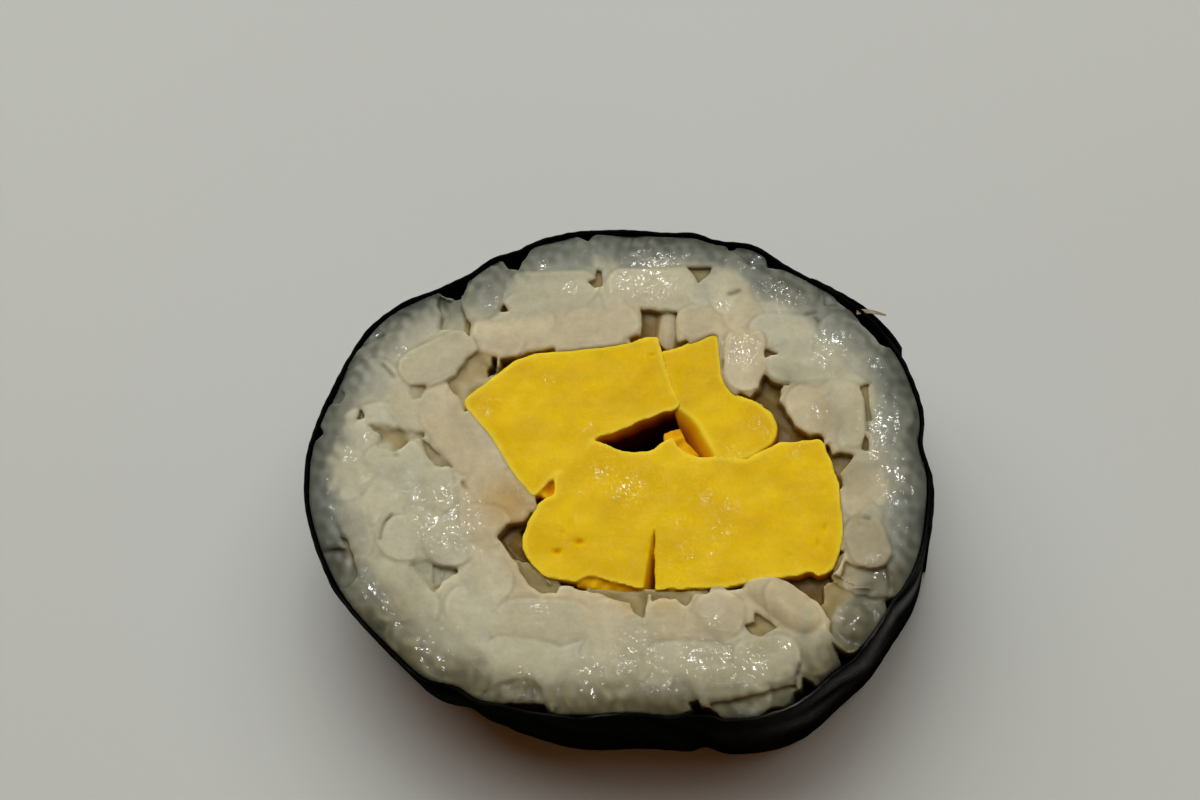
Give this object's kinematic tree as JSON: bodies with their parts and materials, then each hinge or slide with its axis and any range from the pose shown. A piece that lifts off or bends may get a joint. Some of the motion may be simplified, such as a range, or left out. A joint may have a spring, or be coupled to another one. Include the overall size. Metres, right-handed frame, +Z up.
{
  "type": "tamago maki slice",
  "caption": "Thick cut slice of a sushi roll: a dark nori band round packed rice grains, with strips of yellow rolled omelette through the middle.",
  "frame": {"origin": "under the middle of the slice's bounding box, on the surface that the lower cut face lies on", "axes": "+X across the slice's longer width, +Y from the front to the back, +Z up from the lower cut face to the upper one"},
  "size_m": [0.0472, 0.0398, 0.0141],
  "materials": {
    "nori": "damp, slightly glossy roasted seaweed sheet",
    "rice": "moist, translucent cooked grains",
    "omelette": "smooth moist cut egg"
  },
  "bodies": {
    "root": {"nori": "nori", "rice": "rice", "omelette_upper": "omelette", "omelette_side": "omelette", "omelette_lower": "omelette"}
  },
  "joints": []
}
